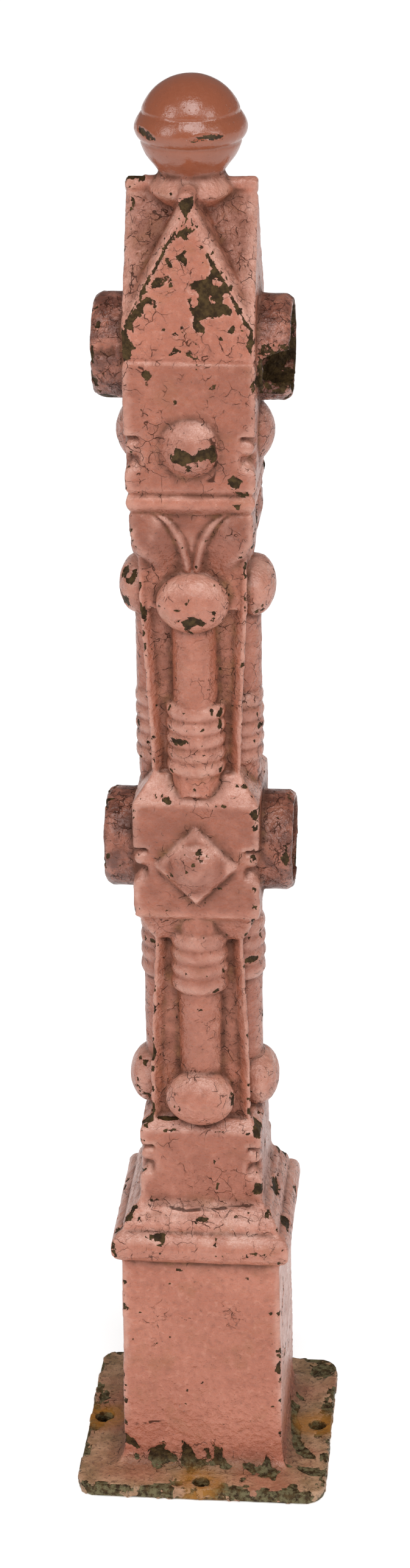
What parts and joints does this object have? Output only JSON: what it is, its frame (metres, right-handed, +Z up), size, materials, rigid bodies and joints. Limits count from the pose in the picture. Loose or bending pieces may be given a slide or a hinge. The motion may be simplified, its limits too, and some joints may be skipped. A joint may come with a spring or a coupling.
{
  "type": "railing newel post",
  "caption": "Square cast-iron railing newel post: base plate, moulded plinth, panelled shafts with ringed colonnettes and ball bosses, gabled head, ball finial, round rail sockets.",
  "frame": {"origin": "middle of the base plate's underside, on the ground", "axes": "+Z up along the post, -Y the front face with the diamond, +X and -X along the rails"},
  "size_m": [0.1616, 0.1616, 0.914],
  "materials": {
    "painted_iron": "old semi-gloss paint, cracked and chipped to dark iron"
  },
  "bodies": {
    "root": {"newel_post": "painted_iron"}
  },
  "joints": []
}
